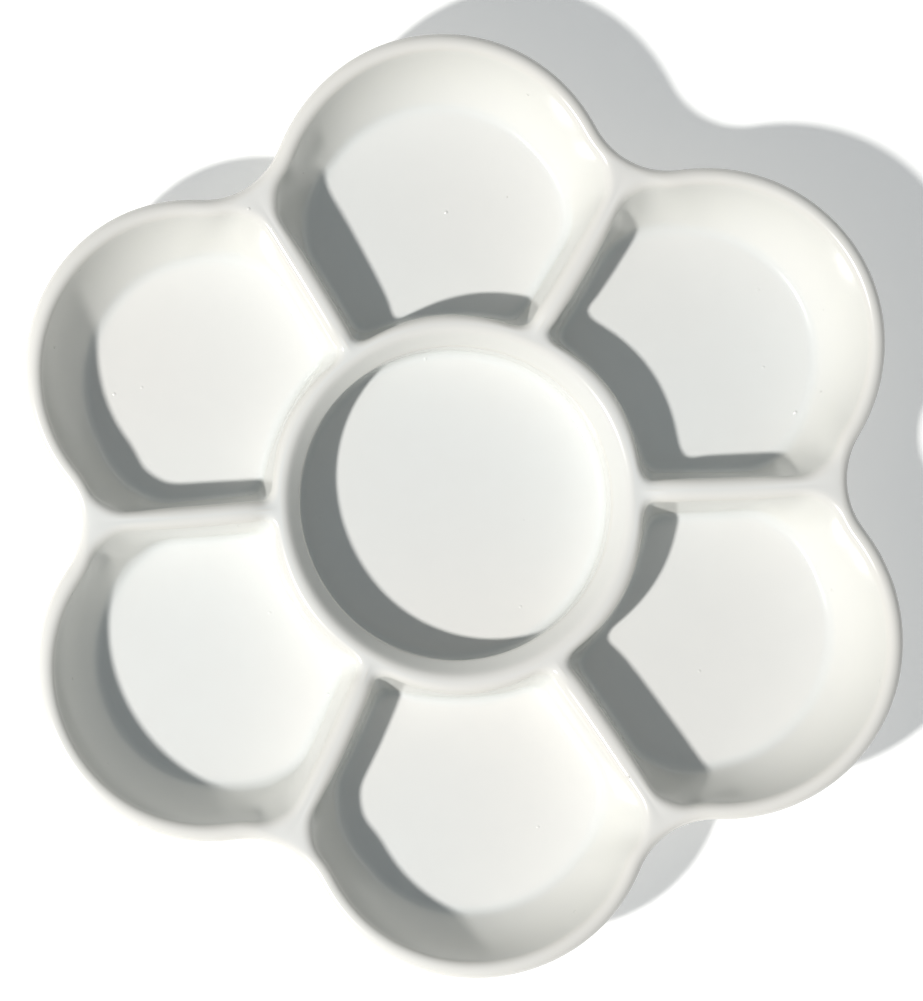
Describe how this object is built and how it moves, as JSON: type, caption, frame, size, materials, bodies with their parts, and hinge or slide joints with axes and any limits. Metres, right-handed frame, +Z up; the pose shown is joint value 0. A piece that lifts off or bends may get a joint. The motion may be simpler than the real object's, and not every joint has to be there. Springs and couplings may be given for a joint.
{
  "type": "mixing palette",
  "caption": "Flower-shaped white glazed porcelain mixing palette, with petal wells round a deeper round centre well, rounded dividing walls and a bare scalloped foot ring.",
  "frame": {"origin": "centre of the footprint, on the plane the foot ring rests on", "axes": "+Z up through the middle of the centre well; +X along one dividing wall between two petals, so a petal points along +Y"},
  "size_m": [0.151, 0.165, 0.0232],
  "materials": {
    "fired_clay": "unglazed fired porcelain, fine matte grain",
    "white_glaze": "clear glossy glaze over white porcelain, with a few pinholes"
  },
  "bodies": {
    "root": {"clay_body": "fired_clay", "glaze_coat": "white_glaze", "underside_glaze": "white_glaze"}
  },
  "joints": []
}
